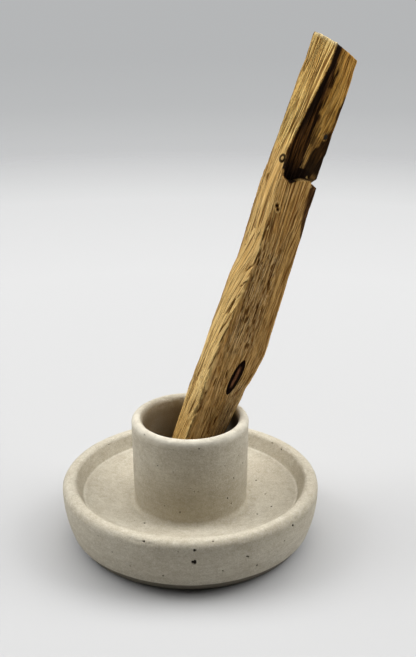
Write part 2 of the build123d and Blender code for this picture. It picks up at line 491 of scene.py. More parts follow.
def stick_surface():
    """Radius of the solid round its own axis, at each station and direction."""
    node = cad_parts["wood_stick"].data
    world = np.empty(len(node.vertices) * 3)
    node.vertices.foreach_get("co", world)
    local = to_stick(world.reshape(-1, 3) / MM)
    tree = search_tree([Vector(p) for p in local], node)
    stations = stick_stations()
    chipped = ease(58, 78, stations)
    cx, cy = -0.4 - 1.3 * chipped, 0.5 + 1.3 * chipped
    tilt = TIP_SLOPE * ease(90, STICK_LENGTH, stations)

    def hit(i, angle):
        s = min(max(stations[i], 0.03), STICK_LENGTH - 0.03)
        way = Vector((math.cos(angle), math.sin(angle), -tilt[i] * math.cos(angle)))
        start = Vector((cx[i], cy[i], s - tilt[i] * cx[i])) + way * 20
        place = tree.ray_cast(start, -way.normalized())[0]
        return math.hypot(place.x - cx[i], place.y - cy[i])

    # Directions that divide the girth of a plain section evenly
    trial = np.linspace(0, 2 * np.pi, 1441)
    plain = int(np.searchsorted(stations, PLAIN_STATION))
    reach = np.array([hit(plain, a) for a in trial])
    ring = np.stack([reach * np.cos(trial), reach * np.sin(trial)], 1)
    girth = np.concatenate([[0], np.cumsum(np.linalg.norm(np.diff(ring, axis=0), axis=1))])
    angles = np.interp(girth[-1] * np.arange(STICK_SIDES) / STICK_SIDES, girth, trial)
    radius = np.array([[hit(i, a) for a in angles] for i in range(len(stations))])

    # Soften the facets along the length, and leave the chip's steps and the notch as they are
    total, weight = np.zeros_like(radius), np.zeros_like(radius)
    for k in range(-SOFT_RINGS, SOFT_RINGS + 1):
        index = np.clip(np.arange(len(stations)) + k, 0, len(stations) - 1)
        w = np.exp(-0.5 * ((stations[index] - stations) / SOFT_LENGTH) ** 2)[:, None]
        w = w * np.exp(-0.5 * ((radius[index] - radius) / SOFT_STEP) ** 2)
        total += w * radius[index]
        weight += w
    notch = (np.cos(angles) > 0.8)[None, :]
    notch = notch * (ease(73, 75, stations) * ease(83, 81, stations))[:, None]
    radius = radius * notch + total / weight * (1 - notch)

    # Wear the front ridge below the chip
    highlight = sum(w * np.roll(radius, k, 1) for k, w in enumerate(WORN_SHARES, -3))
    share = ease(73.5, 70.0, stations)[:, None]
    return stations, angles, radius * (1 - share) + highlight * share, cx, cy, tilt


def beside_runs(x, s, points):
    """For each run of a broken line in the front view: distance, side, and share of the line passed."""
    pairs = list(zip(points, points[1:]))
    length = sum(math.dist(*pair) for pair in pairs)
    done = 0.0
    for (x0, s0), (x1, s1) in pairs:
        run = math.hypot(x1 - x0, s1 - s0)
        ux, us = (x1 - x0) / run, (s1 - s0) / run
        along = np.clip((x - x0) * ux + (s - s0) * us, 0, run)
        away = np.hypot(x - x0 - along * ux, s - s0 - along * us)
        yield away, np.sign(ux * (s - s0) - us * (x - x0)), (done + along) / length
        done += run


def beside_cracks(x, s):
    """Signed distance to the nearest crack in the front view, and how far it stands open there."""
    best = np.full(x.shape, 0.45)
    side, gape = np.full(x.shape, 0.5), np.full(x.shape, -0.3)
    for points, _, _ in CRACKS:
        for away, turn, share in beside_runs(x, s, points):
            opened = 0.22 * np.sqrt(np.clip(4 * share * (1 - share), 0, 1)) - 0.05
            side = np.where(away < best, away * turn, side)
            gape = np.where(away < best, opened, gape)
            best = np.minimum(best, away)
    return side, gape


# Cracks between the fibres, as seen from the front: points across and along, with width and depth
CRACKS = (
    (((-1.7, 67.2), (-1.9, 64.0), (-1.95, 60.9)), 0.22, 0.32),
    (((-1.8, 59.3), (-1.95, 56.8), (-2.2, 55.9)), 0.2, 0.28),
    (((-2.35, 56.0), (-2.85, 55.2), (-3.35, 54.3)), 0.19, 0.3),
    (((-2.35, 52.3), (-2.85, 51.5), (-3.4, 50.6)), 0.2, 0.32),
    (((-2.65, 49.4), (-3.3, 48.0), (-3.8, 46.7), (-4.3, 43.8)), 0.2, 0.3),
    (((-3.5, 44.1), (-3.95, 41.7), (-4.5, 40.0), (-4.75, 38.4)), 0.19, 0.26),
    (((-3.1, 41.0), (-3.55, 38.8), (-3.8, 36.4)), 0.18, 0.24),
    (((-3.55, 34.5), (-3.85, 32.2), (-4.3, 30.4)), 0.18, 0.22),
    (((-3.48, 21.8), (-3.62, 20.9), (-3.82, 20.0)), 0.19, 0.28),
    (((-3.3, 25.4), (-3.42, 24.6)), 0.16, 0.22),
    (((-5.05, 22.6), (-5.3, 20.2), (-5.55, 18.6)), 0.18, 0.22),
    (((-0.05, 31.4), (0.02, 29.5)), 0.16, 0.24),
    (((-2.0, 28.9), (-2.1, 27.0)), 0.19, 0.24),
    (((2.05, 48.6), (2.0, 46.0), (1.85, 43.6)), 0.18, 0.26),
    (((2.75, 54.0), (2.95, 51.4)), 0.16, 0.22),
    (((3.1, 47.6), (3.05, 44.6)), 0.16, 0.2),
    (((-0.1, 47.0), (0.02, 44.8)), 0.18, 0.22),
    (((1.05, 19.8), (0.95, 17.6)), 0.18, 0.22),
)

# Raised fibres along the front ridge, in the same form with height in place of depth
RAISED = (
    (((-2.3, 50.0), (-2.85, 48.9), (-3.35, 47.2)), 0.22, 0.28),
    (((-2.15, 53.0), (-2.8, 52.0)), 0.2, 0.22),
    (((-3.55, 34.2), (-3.7, 31.2), (-3.62, 28.8)), 0.22, 0.25),
    (((-4.28, 28.0), (-3.82, 27.0), (-3.42, 26.0)), 0.2, 0.31),
    (((-4.5, 25.1), (-4.1, 24.4), (-3.72, 23.7)), 0.2, 0.31),
    (((-5.1, 17.6), (-4.62, 19.6), (-3.95, 22.0)), 0.2, 0.31),
    (((-4.2, 18.6), (-4.26, 16.2), (-4.3, 12.8)), 0.2, 0.28),
    (((-1.85, 62.0), (-1.95, 58.6)), 0.2, 0.17),
)

# The almond knot low on the right face
EYE_X, EYE_S, EYE_LEAN = 2.28, 30.1, 0.15
EYE_LONG, EYE_WIDE, EYE_POWER = 4.45, 1.06, 1.9


def eye_reach(x, s):
    """How far across the knot a place is, with 1 on its outline, and how far along it."""
    v = (s - EYE_S) / EYE_LONG
    u = (x - EYE_X - EYE_LEAN * (s - EYE_S)) / EYE_WIDE
    lens = np.sqrt(np.clip(1 - np.abs(v) ** EYE_POWER, 1e-4, 1))
    return np.where(np.abs(v) < 1, np.abs(u) / lens, 9.0), np.abs(v)


def oval(x, s, cx, cs, wide, high):
    return np.hypot((x - cx) / wide, (s - cs) / high)


def end_face(ring, height, seed):
    """Rings and middle of an end face inside its outer ring, a little rough."""
    middle = ring.mean(0)
    rings_in = []
    for k in range(1, CAP_RINGS):
        t = 1 - k / CAP_RINGS
        inner = middle + (ring - middle) * t
        rough_end = 0.1 * noise(inner[:, 0] / 0.6, inner[:, 1] / 0.6, 0 * inner[:, 0], seed)
        inner[:, 2] = height(inner[:, 0]) + rough_end * ease(0, 0.25, 1 - t) - END_SUNK
        rings_in.append(inner)
    centre = middle.copy()
    centre[2] = height(centre[0]) - END_SUNK
    return np.concatenate(rings_in), centre


def stick_faces(rings, sides):
    """Faces of the stick's side, tip and foot, and where each corner lies on the map."""
    faces, uvs = ring_faces(rings, sides), []
    for i in range(rings - 1):
        for j in range(sides):
            for u, v in ((j, i), (j + 1, i), (j + 1, i + 1), (j, i + 1)):
                uvs.append((u / sides, SIDE_MAP_HIGH * v / (rings - 1)))

    def end(outer, first, centre, flip, map_x):
        starts = [outer] + [first + k * sides for k in range(CAP_RINGS - 1)]
        for k, start in enumerate(starts):
            for j in range(sides):
                n = (j + 1) % sides
                corners = [(start + j, k, j), (start + n, k, j + 1)]
                if k == CAP_RINGS - 1:
                    corners += [(centre, k + 1, j + 0.5)]
                else:
                    inner = starts[k + 1]
                    corners += [(inner + n, k + 1, j + 1), (inner + j, k + 1, j)]
                if flip:
                    corners.reverse()
                faces.append(tuple(corner for corner, _, _ in corners))
                for _, ring, spoke in corners:
                    t, a = END_MAP_R * (1 - ring / CAP_RINGS), 2 * math.pi * spoke / sides
                    uvs.append((map_x + t * math.cos(a), END_MAP_Y + t * math.sin(a)))

    side, inside = rings * sides, (CAP_RINGS - 1) * sides
    end(side - sides, side, side + 2 * inside, False, TIP_MAP_X)
    end(0, side + inside, side + 2 * inside + 1, True, FOOT_MAP_X)
    return faces, uvs


def stick_mesh():
    stations, angles, radius, cx, cy, tilt = stick_surface()
    rings, sides = radius.shape
    cos, sin = np.cos(angles)[None, :], np.sin(angles)[None, :]

    def place(rad):
        x = cx[:, None] + rad * cos
        y = cy[:, None] + rad * sin
        return x, y, stations[:, None] - tilt[:, None] * x

    def grain(wide, long, seed):
        """Noise that follows the fibres."""
        return noise(gx / wide, gy / wide, s / long, seed)

    def rough(wide, long, seed):
        return noise(x / wide, y / wide, s / long, seed)

    def ragged(wide, seed):
        """Noise that changes only across the front view."""
        return noise(x / wide, 0 * x, 0 * x, seed)

    x, y, s = place(radius)
    step_s = np.gradient(radius, axis=0) / np.gradient(stations)[:, None]
    step_a = np.roll(radius, -1, 1) - np.roll(radius, 1, 1)
    step_a /= np.mod(np.roll(angles, -1) - np.roll(angles, 1), 2 * np.pi)[None, :]
    nx = cos + sin * step_a / radius
    ny = sin - cos * step_a / radius
    size = np.sqrt(nx ** 2 + ny ** 2 + step_s ** 2)
    nx, ny = nx / size, ny / size
    front = ease(0.15, -0.25, ny)
    left_face = ease(0.1, -0.4, nx) * front

    # The grain is laid round a plain cylinder by girth, and leans most on the lower left face
    on_left = left_face > 0.5
    climbs = on_left & (s < 63 + 4 * rough(0.9, 5, 89))
    lean = np.where(on_left, 0.06, 0.02)
    lean = np.where(climbs, 0.06 + 0.11 * np.clip((x + 7.2) / 3.7, 0, 1), lean)
    seen_share = np.where(on_left, 0.55, 0.85)
    column = 2 * np.pi * np.arange(sides)[None, :] / sides
    column = column - lean * (s - 50) / (seen_share * GRAIN_R)
    gx, gy = GRAIN_R * np.cos(column), GRAIN_R * np.sin(column)
    chip_left = table(s, CHIP_LEFT)
    chip_end = CHIP_END_S + (x - CHIP_END_X) * CHIP_END_RISE
    chip_floor = CHIP_Y + (x - CHIP_X) * CHIP_SLOPE - (s - CHIP_S) * CHIP_PITCH
    in_chip = ease(-0.25, 0.05, x - chip_left) * ease(-0.15, 0.2, s - chip_end)
    in_chip *= ease(0.9, 0.4, np.abs(y - chip_floor))

    # Fibres
    coarse, middle, fine = grain(0.62, 13, 101), grain(0.36, 7, 113), grain(0.23, 3.2, 127)
    strands = 1 + 0.45 * ease(70, 84, s) * left_face
    split = np.clip(0.26 - np.abs(grain(0.95, 15, 149)), 0, 0.26) / 0.26
    split *= ease(-0.05, 0.35, grain(2.3, 6, 151))
    thread = ease(0.2, 0.03, np.abs(grain(0.8, 19, 157)))
    relief = 0.13 * coarse * strands
    relief += (0.085 * middle + 0.05 * fine) * np.where(climbs, 0.35, 1.0)
    relief -= 0.12 * thread * strands
    relief -= 0.1 * split
    lower = ease(58, 40, s)
    relief += 0.075 * lower * (1 - 0.6 * left_face) * grain(0.5, 1.2, 239)
    shift = relief + 0.1 * grain(1.9, 17, 131) + 0.12 * layered(x / 5, y / 5, s / 9, 137)

    # Open pores, most of them in the weathered band of the right face
    grey = ease(-2.3, -1.4, x) * ease(4.6, 2.6, x) * ease(33, 39, s) * ease(66, 58, s) * front
    pores = ease(0.46, 0.66, grain(0.34, 1.9, 163))
    pores *= (0.3 + 0.7 * grey) * ease(78, 66, s) * (1 - 0.85 * left_face)
    shift -= 0.16 * pores

    # A flatter strip down the right, below the almond knot
    strip = ease(31.5, 26.0, s) * ease(1.5, 2.5, x) * ease(0.5, 0.0, ny)
    shift -= 0.16 * strip * np.clip(x - 1.6, 0, 3)

    # The front ridge is frayed
    on_ridge = bell(x - table(s, RIDGE), 0.55) * front * ease(74, 68, s)
    frayed = rough(0.9, 1.5, 229) + 0.6 * rough(0.5, 0.7, 233)
    shift += 0.16 * on_ridge * frayed * (0.35 + 0.65 * lower)

    # Cracks go in and raised fibres stand out
    marks = []
    for lines, sign in ((CRACKS, -1), (RAISED, 1)):
        mark = np.zeros_like(x)
        for points, wide, rise in lines:
            away = np.minimum.reduce([run[0] for run in beside_runs(x, s, points)])
            beside = bell(away, wide) * front
            shift += sign * rise * beside
            mark = np.maximum(mark, beside)
        marks.append(mark)
    cracks, raised = marks
    crack_side, crack_gape = beside_cracks(x, s)

    # Knots
    eye, eye_along = eye_reach(x, s)
    eye_in = ease(1.08, 0.94, eye) * front
    eye_core = ease(0.42, 0.14, eye) * ease(0.64, 0.38, eye_along) * front
    shift -= 0.12 * eye_in * (1 - eye_core)
    ring_knot = oval(x, s, *RING_KNOT)
    ring = bell(ring_knot - RING_REACH, 0.3) * front
    shift += (0.2 * ease(0.9, 0.4, ring_knot) - 0.16 * ring) * front
    pit_knot = np.minimum(*(oval(x, s, *knot) for knot in PIT_KNOTS))
    pit = ease(1.1, 0.7, pit_knot) * front
    pit_rim = bell(pit_knot - 1.7, 0.35) * front
    shift += 0.14 * pit_rim - 0.42 * pit
    bump = oval(x, s, *KNOB, 0.5, 0.64)
    boss_rim = bell(bump - 1.35, 0.28) * front
    shift += 0.26 * (ease(1.15, 0.55, bump) * front)
    peg = ease(1.1, 0.7, oval(x, s, *PEG_HOLE)) * front
    peg_rim = ease(0.46, 0.2, np.hypot(x - 3.05, s - 78.3)) * front
    shift += 0.12 * peg_rim - 0.34 * peg

    # Torn fibres on the chip's floor, and smoother ends and foot
    shift += in_chip * (0.12 * grain(0.45, 9, 173) + 0.08 * grain(0.25, 4, 179))
    ends = ease(0.0, 4.0, stations) * ease(STICK_LENGTH, STICK_LENGTH - 1.2, stations)
    shift *= 0.35 + 0.65 * ends[:, None]
    inside_cup = ease(27.0, 21.0, s)
    shift = np.where(shift > 0, shift * (1 - 0.9 * inside_cup), shift)
    x, y, s = place(radius + shift)

    # Ragged edge round the tip, and the ragged lower end of the chip
    ragged_tip = 0.1 * noise(x[-1] / 0.7, y[-1] / 0.7, 0 * x[-1], 191)
    s[-1] += ragged_tip - 0.11 - 0.35 * ease(-4.5, -5.6, x[-1])
    for k, pull in ((-2, 0.08), (-1, 0.28)):
        x[k] += pull * (cx[k] - x[k]) / radius[k]
        y[k] += pull * (cy[k] - y[k]) / radius[k]
    torn_end = ease(73.8, 75.4, s) * ease(78.4, 77.4, s) * front
    torn_end *= 0.14 * ragged(0.55, 241) + 0.12 * ragged(0.3, 251)
    grid = np.stack([x, y, s + torn_end], -1)
    tip_rings, tip_centre = end_face(grid[-1], lambda v: STICK_LENGTH - TIP_SLOPE * v, 197)
    foot_rings, foot_centre = end_face(grid[0], lambda v: 0 * v + 0.12, 199)
    local = np.concatenate([grid.reshape(-1, 3), tip_rings, foot_rings, [tip_centre], [foot_centre]])
    faces, uvs = stick_faces(rings, sides)
    obj = mesh_from("split_stick", (from_stick(local) * MM).tolist(), faces)
    layer = obj.data.uv_layers.new(name="OFBake")
    layer.data.foreach_set("uv", np.asarray(uvs, np.float32).ravel())

    # Dark resin on the chip's floor: a left and a right part with a pale wedge between, flecked
    chip_share = (x - chip_left) / (CHIP_RIGHT - chip_left)
    streak = grain(0.5, 12, 211) + 0.8 * grain(0.3, 5, 223)
    crumbs = grain(0.42, 1.5, 269)
    stain = ease(0.035, -0.03, chip_share - table(s, STAIN_LEFT) - 0.1 * streak - 0.07 * crumbs)
    right = ease(-0.035, 0.035, chip_share - table(s, STAIN_RIGHT) + 0.13 * streak + 0.07 * crumbs)
    flecked = ease(0.18, 0.42, grain(0.36, 2.4, 271)) * ease(104, 88, s)
    stain = np.maximum.reduce([stain, 0.97 * right, 0.66 * flecked])
    stain *= ease(-0.15, 0.1, x - chip_left)
    low_edge = table(x, STAIN_LOW) + 0.15 * ragged(0.7, 227)
    stain *= ease(-0.15, 0.25, s - low_edge) * ease(0.75, 0.3, ny)
    stain *= 1 - 0.7 * bell(x - 4.35, 0.55) * bell(s - 78.7, 0.65)
    stain *= 1 - 0.9 * np.maximum(boss_rim * ease(87.9, 87.3, s), peg_rim)
    # Painted shadow of the chip's step along its left edge, and char at the chip's lower end
    arris_shadow = ease(1.5, 0.8, x - chip_left - 0.25 * streak) * ease(84, 92, s)
    burnt = ease(81.5, 78.5, s + 0.8 * streak - 3.2 * ease(0.0, 1.6, x))

    # Other marks that only colour the wood: bark, and painted shade and painted highlight on edges, holes
    # and cracks
    bark = ease(-0.1, 0.12, x - table(s, BARK_EDGE) + 0.12 * coarse)
    bark *= ease(64.1, 64.7, s) * ease(77.6, 77.0, s) * ease(0.65, 0.2, ny)
    # Painted shade along the left edge, where the face turns away
    left_edge_shade = ease(0.46, 0.08, x - x.min(1)[:, None]) * ease(34, 50, s)
    tip_edge = ease(1.1, 0.25, STICK_LENGTH - TIP_SLOPE * x - s)
    tip_edge *= np.maximum(ease(1.2, 0.5, x), 1 - front)
    # Painted shade low on the right face, where the cup shades it
    shade_by_cup = ease(25, 19, s) * ease(1.6, 2.6, x) * front
    # Painted shade in cracks, pores, knot holes, the peg hole and splits
    darks = [0.5 * cracks, 0.8 * pores, pit, peg, 0.22 * split * (1 - 0.7 * left_face)]
    # Pale raised fibres, and painted highlights on the rims of the holes, the knob and the tip's edge
    pales = [raised, 0.5 * pit_rim, peg_rim, 0.15 * boss_rim, tip_edge]

    def whole(field, tip=0.0, foot=0.0):
        """A field of the side, carried on over the end faces."""
        inside = (CAP_RINGS - 1) * sides
        return np.concatenate([field.ravel(), np.full(inside, tip), np.full(inside, foot), [tip, foot]])

    coordinates = local.copy()
    coordinates[:gx.size, 0], coordinates[:gx.size, 1] = gx.ravel(), gy.ravel()
    fields = {
        "stick_mm": coordinates,
        "stain": whole(np.clip(stain, 0, 1)),
        "char_and_arris_shadow": whole(0.95 * np.maximum(arris_shadow, burnt)),
        "bark": whole(bark),
        # Greyer weathered band, with painted shade on the flat strip and low on the right by the cup
        "grey": whole(np.clip(grey + 1.5 * strip + 1.2 * shade_by_cup, 0, 2.2)),
        "dark": whole(np.clip(np.maximum.reduce(darks), 0, 1)),
        "pale": whole(np.clip(np.maximum.reduce(pales), 0, 1), 0.6, 0.4),
        "front": whole(front),
        # Painted shade in sunken relief and painted highlight on raised relief
        "groove": whole(ease(0.06, 0.24, -relief)),
        "crest": whole(ease(0.06, 0.2, relief)),
        # The left face, and part of the back, painted as lit
        "lit_face": whole(np.maximum(left_face, 0.6 * ease(-0.1, 0.4, ny))),
        "rim": whole(left_edge_shade),
        "across": whole(x),
        "crack_side": whole(crack_side),
        "crack_gape": whole(crack_gape, -0.3, -0.3),
    }
    for name, values in fields.items():
        store(obj.data, name, values)
    return obj


# Material helpers

class Nodes:
    """Short forms for building the nodes of a material or a world."""

    def __init__(self, owner):
        owner.use_nodes = True
        self.owner, self.tree = owner, owner.node_tree
        self.colour = None

    def feed(self, node, inputs):
        for key, value in inputs.items():
            if isinstance(value, bpy.types.NodeSocket):
                self.tree.links.new(value, node.inputs[key])
            else:
                node.inputs[key].default_value = value

    def add(self, kind, inputs, **settings):
        """The outputs of a new node, with its settings made and its inputs linked or set."""
        node = self.tree.nodes.new("ShaderNode" + kind)
        for key, value in settings.items():
            setattr(node, key, value)
        self.feed(node, inputs)
        return node.outputs

    def attribute(self, name, out="Fac"):
        return self.add("Attribute", {}, attribute_name=name)[out]

    def place(self):
        return self.add("TexCoord", {})["Object"]

    def scaled(self, place, wide, high):
        return self.add("Mapping", {"Vector": place, "Scale": (wide, wide, high)})["Vector"]

    def place_mm(self):
        return self.scaled(self.place(), 1 / MM, 1 / MM)

    def noise(self, place, wide, high, detail=2.0, rough=0.5):
        place = self.scaled(place, wide, high)
        inputs = {"Vector": place, "Scale": 1.0, "Detail": detail, "Roughness": rough}
        return self.add("TexNoise", inputs)["Fac"]

    def cells(self, place, scale):
        """Distance to the middle of the nearest cell, and a random number for each cell."""
        cell = self.add("TexVoronoi", {"Vector": self.scaled(place, scale, scale), "Scale": 1.0})
        return cell["Distance"], self.add("SeparateColor", {"Color": cell["Color"]})["Red"]

    def math(self, operation, *values, clamp=False):
        return self.add("Math", dict(enumerate(values)), operation=operation, use_clamp=clamp)[0]

    def times(self, a, b, clamp=False):
        return self.math("MULTIPLY", a, b, clamp=clamp)

    def minus(self, a, b):
        return self.math("SUBTRACT", a, b)

    def apart(self, a, b):
        return self.math("ABSOLUTE", self.minus(a, b))

    def span(self, value, low, high, to_low=0.0, to_high=1.0):
        inputs = {"Value": value, "From Min": low, "From Max": high, "To Min": to_low, "To Max": to_high}
        return self.add("MapRange", inputs, clamp=True)["Result"]

    def ramp(self, value, *stops):
        out = self.add("ValToRGB", {"Fac": value})["Color"]
        elements = out.node.color_ramp.elements
        while len(elements) < len(stops):
            elements.new(0.5)
        for element, (at, colour) in zip(elements, stops):
            element.position = at
            element.color = (*colour, 1.0)
        return out

    def mix(self, share, a, b, blend="MIX"):
        a, b = ((*c, 1.0) if isinstance(c, tuple) else c for c in (a, b))
        return self.add("Mix", {0: share, 6: a, 7: b}, data_type="RGBA", blend_type=blend)[2]

    def paint(self, share, tint, blend="MIX"):
        """Lay a tint over the colour so far."""
        self.colour = self.mix(share, self.colour, tint, blend)

    def layers(self, *rows):
        """Paint tints one over another, each growing to its share as a value goes from low to high."""
        for value, low, high, share, tint in rows:
            self.paint(self.span(value, low, high, 0.0, share), tint)

    def mark(self, name, share, tint):
        self.paint(self.times(self.attribute(name), share), tint)

    def bump(self, height, distance, strength, under=None):
        inputs = {"Height": height, "Distance": distance, "Strength": strength}
        if under is not None:
            inputs["Normal"] = under
        return self.add("Bump", inputs)["Normal"]

    def seen(self):
        """1 for a ray that shows a surface, and 0 for one that only carries light."""
        path = self.add("LightPath", {})
        shows = self.math("MAXIMUM", path["Is Camera Ray"], path["Is Glossy Ray"])
        return self.math("MAXIMUM", shows, path["Is Transmission Ray"])

    def dressed(self, rough, shine, normal):
        inputs = {"Base Color": self.colour, "Roughness": rough, "Specular IOR Level": shine}
        self.feed(self.tree.nodes["Principled BSDF"], {**inputs, "Normal": normal})
        return self.owner


def casting_material():
    m = Nodes(bpy.data.materials.new("cast_body"))
    place = m.place_mm()
    clouds = m.noise(place, 0.06, 0.09, detail=3.0)
    patches = m.noise(place, 0.35, 0.55, detail=4.0, rough=0.6)
    blotches = m.noise(place, 1.05, 1.25, detail=3.0, rough=0.55)
    streaks = m.noise(place, 0.16, 1.9, rough=0.55)
    sand = m.noise(place, 3.2, 3.2, rough=0.6)
    m.colour = m.ramp(
        clouds,
        (0.3, (0.523, 0.469, 0.362)),
        (0.55, (0.565, 0.517, 0.408)),
        (0.75, (0.585, 0.542, 0.442)),
    )
    m.layers(
        (patches, 0.4, 0.66, 0.6, (0.431, 0.377, 0.281)),
        (streaks, 0.46, 0.66, 0.34, (0.431, 0.381, 0.288)),
        (blotches, 0.54, 0.7, 0.45, (0.4, 0.35, 0.262)),
        (blotches, 0.46, 0.3, 0.4, (0.654, 0.615, 0.531)),
        (sand, 0.52, 0.74, 0.5, (0.677, 0.642, 0.569)),
        (sand, 0.48, 0.26, 0.55, (0.331, 0.292, 0.219)),
    )
    far, chance = m.cells(place, 0.55)
    speck = m.times(m.span(far, 0.13, 0.07), m.span(chance, 0.8, 0.86))
    m.paint(m.times(speck, 0.45), (0.146, 0.123, 0.088))
    # Painted highlights along the ledge, the wall foot and the front of the lip
    highlight = m.times(m.attribute("edge_highlight"), m.span(patches, 0.36, 0.62, 0.58, 0.32))
    m.paint(highlight, (0.8, 0.75, 0.628))
    # Painted shade in the corner at the cup's foot, and a darker band on the rim's outer side
    m.mark("corner_shade_and_darker_rim", 0.34, (0.254, 0.215, 0.146))
    # Painted shade on the base chamfer
    m.mark("chamfer_shade", 0.86, (0.12, 0.104, 0.078))
    # Painted shade inside the bore, and the stick's painted shadow on its wall
    m.mark("bore_shade", 0.74, (0.205, 0.165, 0.106))
    m.mark("stick_shadow", 0.8, (0.03, 0.024, 0.016))
    # Painted shade in the pinholes
    m.paint(m.span(m.attribute("pit"), 0.1, 0.55), (0.031, 0.025, 0.018))
    grain = m.math("ADD", m.times(sand, 0.7), m.times(patches, 0.8))
    return m.dressed(m.span(sand, 0.25, 0.75, 0.72, 0.9), 0.22, m.bump(grain, 0.0001, 0.55))


# Painted light and shade of the wood: its tone on the lit left face and on the shaded others, at the foot,
# and how it changes with height
LIT_TONES = (
    (0.87, 0.76, 0.6), (17, 25, (1.0, 0.96, 0.9)), (45, 54, (0.87, 0.8, 0.73)),
    (66, 76, (0.88, 0.79, 0.69)), (81, 86, (1.0, 0.98, 0.84)), (91, 98, (1.0, 0.91, 0.72)),
    (103, 107, (1.0, 0.95, 0.8)),
)
SHADED = (
    (0.85, 0.74, 0.66), (36, 60, (0.8, 0.69, 0.585)), (63, 68, (0.85, 0.735, 0.63)),
    (80, 88, (0.86, 0.69, 0.425)),
)


def wood_material():
    m = Nodes(bpy.data.materials.new("split_wood"))
    place = m.attribute("stick_mm", "Vector")
    high = m.add("SeparateXYZ", {0: place})["Z"]
    across, front, lit_face, grey = (m.attribute(name) for name in ("across", "front", "lit_face", "grey"))
    lower = m.span(high, 30.0, 54.0, 1.0, 0.0)

    def reach(middle, station, wide, tall):
        u = m.math("DIVIDE", m.minus(across, middle), wide)
        v = m.math("DIVIDE", m.minus(high, station), tall)
        return m.math("SQRT", m.math("ADD", m.times(u, u), m.times(v, v)))

    tears = m.noise(place, 3.2, 0.4, rough=0.55)
    bands = m.noise(place, 1.35, 0.05, rough=0.55)
    fibres = m.noise(place, 2.3, 0.13, rough=0.6)
    hairs = m.noise(place, 5.0, 0.4, rough=0.6)
    flecks = m.noise(place, 2.4, 0.38)
    clouds = m.noise(place, 0.22, 0.07)
    strands = m.apart(m.noise(place, 1.55, 0.045, detail=1.0), 0.5)
    slivers = m.apart(m.noise(place, 1.9, 0.1, detail=1.0), 0.5)
    seams = m.span(strands, 0.014, 0.042, 1.0, 0.0)
    # Painted highlights: bright lines beside the seams, and glints
    seam_glints = m.times(m.span(strands, 0.035, 0.065), m.span(strands, 0.075, 0.12, 1.0, 0.0))
    glints = m.math("MAXIMUM", m.span(slivers, 0.0, 0.05, 1.0, 0.0), seam_glints)
    glints = m.times(glints, m.minus(1.0, seams))

    # Plain wood, painted lighter on the lit left face, and greyer in the weathered band, where painted
    # shade also falls on the flat strip and low on the right by the cup
    m.colour = m.ramp(
        bands,
        (0.3, (0.7, 0.41, 0.115)),
        (0.45, (0.82, 0.51, 0.16)),
        (0.58, (0.93, 0.615, 0.21)),
        (0.72, (0.99, 0.7, 0.28)),
    )
    m.layers(
        (fibres, 0.5, 0.34, 0.58, (0.31, 0.146, 0.032)),
        (fibres, 0.54, 0.68, 0.65, (0.99, 0.71, 0.3)),
        (hairs, 0.47, 0.33, 0.6, (0.19, 0.085, 0.02)),
        (hairs, 0.53, 0.67, 0.5, (0.99, 0.75, 0.36)),
        (clouds, 0.46, 0.68, 0.22, (0.46, 0.255, 0.075)),
    )
    clean = m.math("ADD", m.span(high, 52.0, 62.0, 0.64, 0.5), m.span(high, 78.0, 88.0, 0.0, 0.42))
    m.paint(m.times(lit_face, clean), (1.0, 0.69, 0.26))
    m.paint(m.times(grey, 0.26, clamp=True), (0.34, 0.262, 0.15))

    # Torn threads low down, then dots and pale threads in the weathered band
    for low, full, on_right, on_left, tint in (
        (0.46, 0.39, 0.78, 0.66, (0.25, 0.115, 0.026)),
        (0.52, 0.59, 0.62, 0.9, (1.0, 0.76, 0.36)),
    ):
        share = m.times(lower, m.span(lit_face, 0.0, 1.0, on_right, on_left))
        m.paint(m.times(m.span(tears, low, full), share), tint)
    dots = m.times(m.span(flecks, 0.568, 0.598), m.math("MULTIPLY_ADD", grey, 0.9, 0.1))
    dots = m.times(dots, m.span(lit_face, 0.0, 1.0, 0.92, 0.15), clamp=True)
    m.paint(dots, (0.055, 0.03, 0.011))
    threads = m.times(m.span(hairs, 0.51, 0.58), m.times(grey, 0.8, clamp=True))
    m.paint(threads, (1.0, 0.79, 0.44))

    # Painted highlight on crests and painted shade in grooves, then long seams with painted highlights
    # beside them, and glints
    m.mark("crest", 0.6, (0.97, 0.72, 0.33))
    groove = m.times(m.attribute("groove"), m.span(lit_face, 0.0, 1.0, 0.7, 0.2))
    m.paint(groove, (0.15, 0.068, 0.016))
    long_lines = m.times(lit_face, m.span(high, 80.0, 98.0, 0.7, 0.6))
    long_lines = m.math("MAXIMUM", m.span(high, 38.0, 62.0, 0.25, 0.85), long_lines)
    m.paint(m.times(seams, long_lines), (0.17, 0.072, 0.016))
    # Painted glints, strongest on the lit face
    glow = m.times(glints, m.math("MULTIPLY_ADD", lit_face, 0.5, 0.35))
    m.paint(glow, (1.0, 0.76, 0.35))

    # Painted light and shade: the lit and the shaded tone along the length
    tones = []
    for tone, *changes in (SHADED, LIT_TONES):
        for low, full, tint in changes:
            tone = m.mix(m.span(high, low, full), tone, tint)
        tones.append(tone)
    m.paint(1.0, m.mix(lit_face, *tones), "MULTIPLY")

    # Pale marks with painted highlights, painted shade along the left edge and in the open cracks, and
    # painted shade in pores and holes
    # Pale raised fibres, with painted highlights on rims and the tip's edge
    pale = m.times(m.attribute("pale"), m.span(fibres, 0.36, 0.6, 0.6, 1.0))
    tipped = m.mix(m.span(high, 101.0, 104.0), (1.0, 0.72, 0.29), (1.0, 0.79, 0.42))
    m.paint(pale, tipped)
    m.mark("rim", 0.5, (0.33, 0.145, 0.03))
    wander = m.math("MULTIPLY_ADD", m.minus(hairs, 0.5), 0.2, m.attribute("crack_side"))
    room = m.minus(m.attribute("crack_gape"), m.math("ABSOLUTE", wander))
